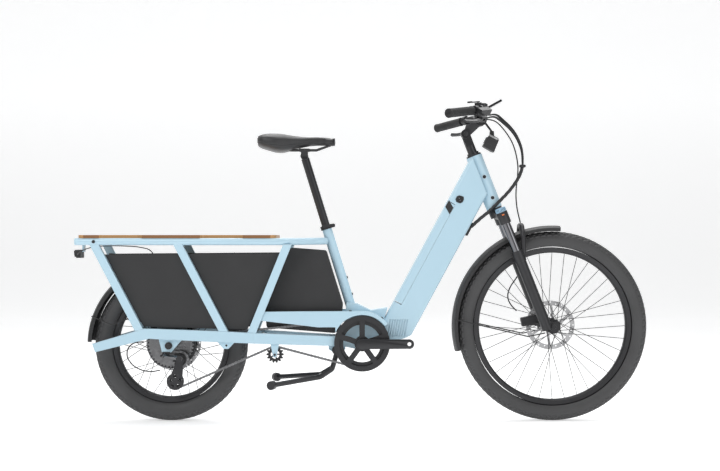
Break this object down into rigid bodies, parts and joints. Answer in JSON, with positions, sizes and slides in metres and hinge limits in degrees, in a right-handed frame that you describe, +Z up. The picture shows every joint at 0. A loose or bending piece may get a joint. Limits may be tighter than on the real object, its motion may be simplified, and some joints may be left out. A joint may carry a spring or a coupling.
{
  "type": "cargo bicycle",
  "caption": "Long-tail electric cargo bicycle with a low step-through frame, a wooden rack deck, a suspension fork, a hub motor, fenders and a folding centre stand.",
  "frame": {"origin": "on the ground below the middle of the whole bicycle", "axes": "+X forward along the bicycle, +Y to the rider's left, +Z up"},
  "size_m": [2.0911, 0.6856, 1.1724],
  "materials": {
    "frame_paint": "satin light blue paint",
    "cover_paint": "satin light blue cover with a black upper end",
    "black_metal": "satin black anodised or painted metal",
    "black_plastic": "fine-grained matt black",
    "gloss_black": "gloss black with a dark window",
    "lamp_plastic": "dark lamp case with its lens",
    "battery_case": "matt dark grey",
    "bamboo": "oiled warm brown board",
    "saddle_leather": "matt black stitched cover",
    "tyre": "dark grey tread and sidewall",
    "grip_rubber": "ribbed matt black",
    "cable_rubber": "black sheathing",
    "stanchion_metal": "polished dark",
    "rotor_steel": "brushed",
    "chain_steel": "oiled dark steel",
    "spoke_steel": "black coated"
  },
  "bodies": {
    "frame": {"main_frame": "frame_paint", "down_tube": "frame_paint", "rack_frame": "frame_paint", "chainstay_frame": "frame_paint", "bearing_cups": "black_metal", "deck_board": "bamboo", "frame_bolts": "black_metal", "side_panels": "black_plastic", "frame_bag": "black_plastic", "tail_light": "lamp_plastic", "rear_fender": "black_plastic", "rear_caliper": "black_metal", "motor_controller": "black_plastic", "rear_cables": "cable_rubber", "derailleur_mount": "black_metal", "chain": "chain_steel"},
    "steering": {"fork_crown": "black_metal", "stanchions": "stanchion_metal", "stem_quill": "black_metal"},
    "stem": {"stem_arm": "black_metal", "handlebar": "black_metal", "grips": "grip_rubber", "bar_controls": "black_metal", "display": "gloss_black", "bell": "black_metal", "control_cables": "cable_rubber"},
    "brake_lever_right": {"brake_lever_right": "black_metal"},
    "brake_lever_left": {"brake_lever_left": "black_metal"},
    "shift_lever": {"shift_lever": "black_plastic"},
    "headlight": {"headlight": "lamp_plastic"},
    "fork_lower": {"fork_lowers": "black_metal", "front_caliper": "black_metal", "front_fender": "black_plastic"},
    "front_wheel": {"front_tyre": "tyre", "front_rim": "black_metal", "front_spokes": "spoke_steel", "front_hub": "black_metal", "front_rotor": "rotor_steel"},
    "rear_wheel": {"rear_tyre": "tyre", "rear_rim": "black_metal", "rear_spokes": "spoke_steel", "hub_motor": "black_metal", "rear_rotor": "rotor_steel"},
    "cassette": {"cassette": "rotor_steel"},
    "crank": {"chainring": "black_metal", "crank_arms": "black_metal"},
    "derailleur_links": {"derailleur_links": "black_metal"},
    "derailleur_knuckle": {"derailleur_knuckle": "black_metal"},
    "derailleur_cage": {"derailleur_cage": "black_metal"},
    "guide_pulley": {"guide_pulley": "black_plastic"},
    "tension_pulley": {"tension_pulley": "black_plastic"},
    "idler_pulley": {"idler_pulley": "black_plastic"},
    "kickstand": {"kickstand": "black_metal"},
    "seatpost": {"seatpost": "black_metal"},
    "saddle": {"saddle_base": "black_plastic", "saddle_cover": "saddle_leather"},
    "collar_lever": {"collar_lever": "black_metal"},
    "battery": {"battery_pack": "battery_case", "battery_cover": "cover_paint"},
    "battery_lock": {"battery_lock": "black_metal"}
  },
  "joints": [
    {"name": "steering_turn", "type": "hinge", "parent": "frame", "child": "steering", "pos_m": [0.48955, 0, 0.7764], "axis": [-0.3665, 0, 0.9304], "range_deg": [-50, 50], "deforming": ["control_cables"]},
    {"name": "stem_tilt", "type": "hinge", "parent": "steering", "child": "stem", "pos_m": [0.38365, 0, 1.0472], "axis": [0, 1, 0], "range_deg": [-35, 10], "deforming": ["control_cables"]},
    {"name": "brake_lever_right_pull", "type": "hinge", "parent": "stem", "child": "brake_lever_right", "pos_m": [0.41905, -0.25543, 1.08231], "axis": [-0.3209, 0.4359, -0.8408], "range_deg": [0, 18], "stiffness_Nm_per_rad": 0.6, "springref_deg": -20.05},
    {"name": "brake_lever_left_pull", "type": "hinge", "parent": "stem", "child": "brake_lever_left", "pos_m": [0.41905, 0.25543, 1.08231], "axis": [0.3209, 0.4359, 0.8408], "range_deg": [0, 18], "stiffness_Nm_per_rad": 0.6, "springref_deg": -20.05},
    {"name": "shift_lever_push", "type": "hinge", "parent": "stem", "child": "shift_lever", "pos_m": [0.41232, -0.19055, 1.14749], "axis": [-0.0872, -0.0974, 0.9914], "range_deg": [0, 25], "stiffness_Nm_per_rad": 0.05, "springref_deg": -17.19},
    {"name": "headlight_tilt", "type": "hinge", "parent": "stem", "child": "headlight", "pos_m": [0.48025, 0, 1.052], "axis": [0, 1, 0], "range_deg": [-20, 20]},
    {"name": "fork_travel", "type": "slide", "parent": "steering", "child": "fork_lower", "axis": [-0.3665, 0, 0.9304], "range_m": [0, 0.06], "stiffness_N_per_m": 9000, "springref_m": -0.012, "deforming": ["control_cables"]},
    {"name": "front_wheel_spin", "type": "hinge", "parent": "fork_lower", "child": "front_wheel", "pos_m": [0.70025, 0, 0.3455], "axis": [0, 1, 0], "continuous": true},
    {"name": "rear_wheel_spin", "type": "hinge", "parent": "frame", "child": "rear_wheel", "pos_m": [-0.69175, 0, 0.279], "axis": [0, 1, 0], "continuous": true},
    {"name": "crank_spin", "type": "hinge", "parent": "frame", "child": "crank", "pos_m": [0.00475, 0, 0.2855], "axis": [0, 1, 0], "continuous": true},
    {"name": "cassette_spin", "type": "hinge", "parent": "frame", "child": "cassette", "pos_m": [-0.69175, 0, 0.279], "axis": [0, 1, 0], "continuous": true},
    {"name": "idler_spin", "type": "hinge", "parent": "frame", "child": "idler_pulley", "pos_m": [-0.30995, -0.062, 0.2462], "axis": [0, 1, 0], "continuous": true},
    {"name": "derailleur_shift", "type": "hinge", "parent": "frame", "child": "derailleur_links", "pos_m": [-0.70575, -0.104, 0.243], "axis": [0.2376, 0.8521, 0.4664], "range_deg": [0, 50], "stiffness_Nm_per_rad": 0.5, "springref_deg": -57.3, "deforming": ["chain"]},
    {"name": "derailleur_follow", "type": "hinge", "parent": "derailleur_links", "child": "derailleur_knuckle", "pos_m": [-0.64975, -0.116, 0.2364], "axis": [0.2376, 0.8521, 0.4664], "range_deg": [-50, 0], "deforming": ["chain"]},
    {"name": "cage_swing", "type": "hinge", "parent": "derailleur_knuckle", "child": "derailleur_cage", "pos_m": [-0.64975, -0.062, 0.236], "axis": [0, 1, 0], "range_deg": [-40, 0], "stiffness_Nm_per_rad": 0.4, "springref_deg": 51.57, "deforming": ["chain"]},
    {"name": "guide_pulley_spin", "type": "hinge", "parent": "derailleur_cage", "child": "guide_pulley", "pos_m": [-0.65175, -0.062, 0.228], "axis": [0, 1, 0], "continuous": true},
    {"name": "tension_pulley_spin", "type": "hinge", "parent": "derailleur_cage", "child": "tension_pulley", "pos_m": [-0.67075, -0.062, 0.1482], "axis": [0, 1, 0], "continuous": true},
    {"name": "kickstand_swing", "type": "hinge", "parent": "frame", "child": "kickstand", "pos_m": [-0.08875, 0, 0.2594], "axis": [0, -1, 0], "range_deg": [0, 60]},
    {"name": "seatpost_height", "type": "slide", "parent": "frame", "child": "seatpost", "axis": [-0.2957, 0, 0.9553], "range_m": [-0.16, 0.06]},
    {"name": "saddle_tilt", "type": "hinge", "parent": "seatpost", "child": "saddle", "pos_m": [-0.2059, 0, 0.966], "axis": [0, 1, 0], "range_deg": [-10, 10]},
    {"name": "collar_lever_open", "type": "hinge", "parent": "frame", "child": "collar_lever", "pos_m": [-0.10027, 0, 0.71269], "axis": [0, 1, 0], "range_deg": [0, 100]},
    {"name": "battery_lift", "type": "slide", "parent": "frame", "child": "battery", "axis": [-0.8805, 0, 0.4741], "range_m": [0, 0.12]},
    {"name": "lock_turn", "type": "hinge", "parent": "frame", "child": "battery_lock", "pos_m": [0.35924, -0.042, 0.80733], "axis": [0, 1, 0], "range_deg": [0, 90]}
  ],
  "couplings": [
    {"joint": "cassette_spin", "follows": "crank_spin", "ratio": 4},
    {"joint": "idler_spin", "follows": "crank_spin", "ratio": -3.1429},
    {"joint": "tension_pulley_spin", "follows": "crank_spin", "ratio": 3.3846},
    {"joint": "guide_pulley_spin", "follows": "crank_spin", "ratio": -3.3846},
    {"joint": "derailleur_follow", "follows": "derailleur_shift", "ratio": -1}
  ]
}
